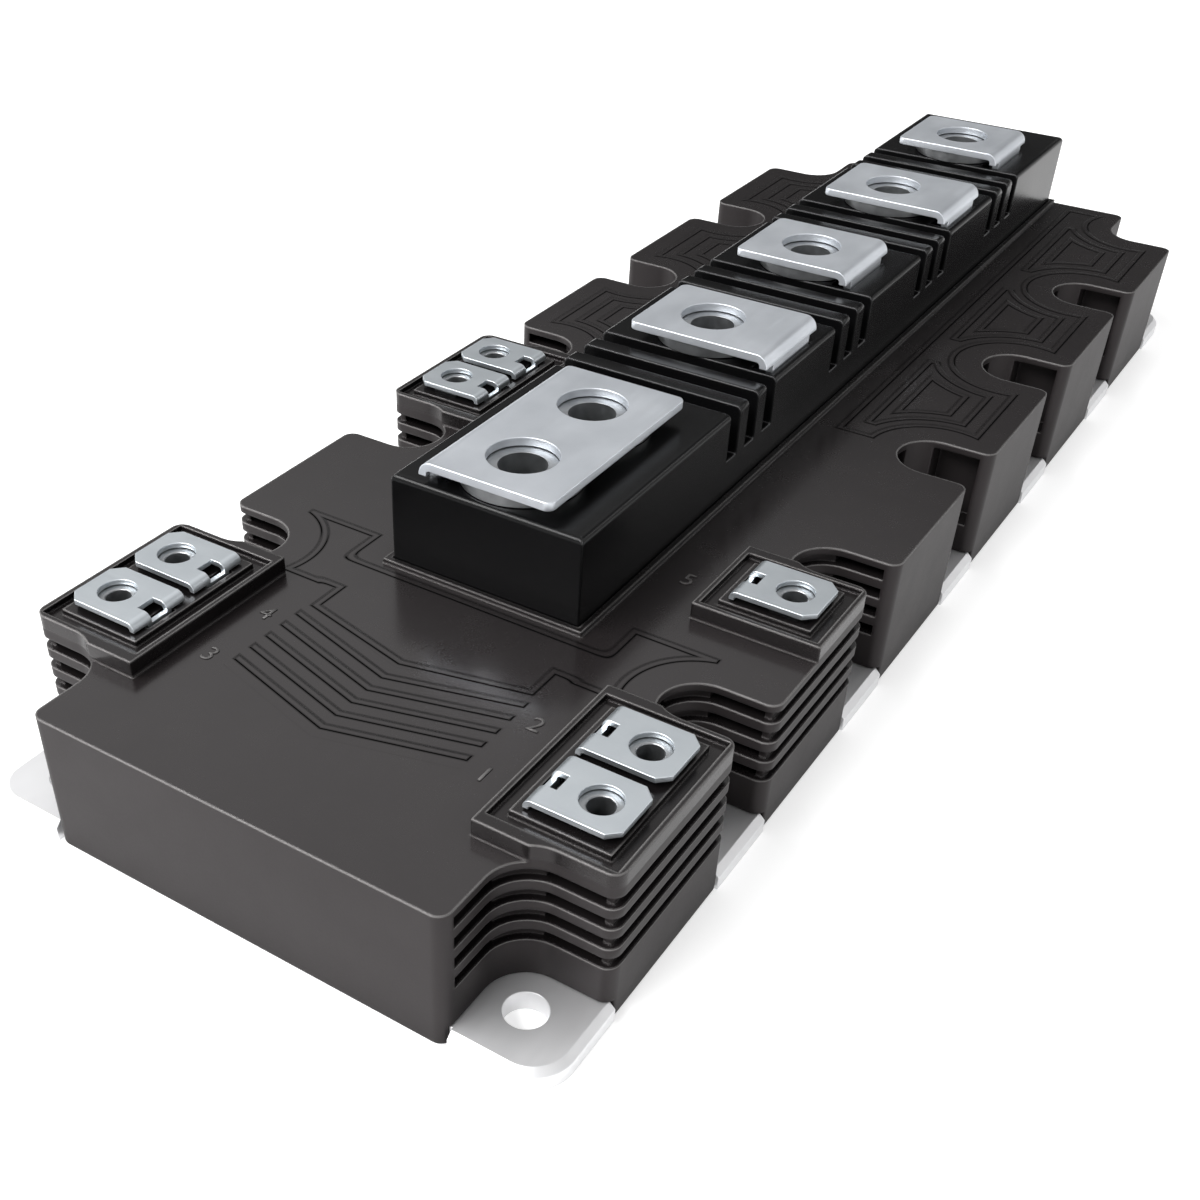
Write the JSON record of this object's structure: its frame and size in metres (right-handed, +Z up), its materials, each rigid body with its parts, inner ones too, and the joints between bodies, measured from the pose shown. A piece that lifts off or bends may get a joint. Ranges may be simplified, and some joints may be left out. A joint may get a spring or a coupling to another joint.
{
  "type": "igbt module",
  "caption": "Flat half-bridge power module: scalloped dark housing on a plated baseplate, raised block with bolted power terminals, small control terminals at the sides.",
  "frame": {"origin": "middle of the baseplate's underside", "axes": "+X along the module, away from the two-hole output terminal; +Z up, away from the heatsink; +Y to the left seen from the output end"},
  "size_m": [0.25, 0.089, 0.038],
  "materials": {
    "plate_nickel": "nickel-plated copper, satin, bright bevel at the rim",
    "housing_moulding": "dark grey glass-filled moulding, fine eroded texture",
    "block_moulding": "near-black glass-filled moulding, satin",
    "seal_silicone": "cured silicone adhesive",
    "power_copper": "tinned or nickel-plated copper sheet, satin",
    "control_strip": "tinned bronze strip, satin",
    "insulator_film": "pale insulating film",
    "nut_steel": "zinc-plated steel",
    "bare_copper": "bare copper, satin",
    "tile_ceramic": "fired white ceramic, unglazed",
    "chip_silicon": "polished metallised silicon",
    "wire_aluminium": "drawn aluminium wire, bright",
    "sensor_ceramic": "fired ceramic with tinned end caps"
  },
  "bodies": {
    "root": {"ac_busbar": "power_copper", "baseplate": "plate_nickel", "bond_wires": "wire_aluminium", "busbar_insulator": "insulator_film", "ceramic_tiles": "tile_ceramic", "control_nuts": "nut_steel", "control_terminal_1": "control_strip", "control_terminal_2": "control_strip", "control_terminal_3": "control_strip", "control_terminal_4": "control_strip", "control_terminal_5": "control_strip", "control_terminal_6": "control_strip", "control_terminal_7": "control_strip", "copper_tracks": "bare_copper", "dc_minus_busbar": "power_copper", "dc_plus_busbar": "power_copper", "diode_chips": "chip_silicon", "edge_seal": "seal_silicone", "housing": "housing_moulding", "power_nuts": "nut_steel", "switch_chips": "chip_silicon", "temperature_sensor": "sensor_ceramic", "terminal_block": "block_moulding", "tile_backing": "bare_copper"}
  },
  "joints": []
}
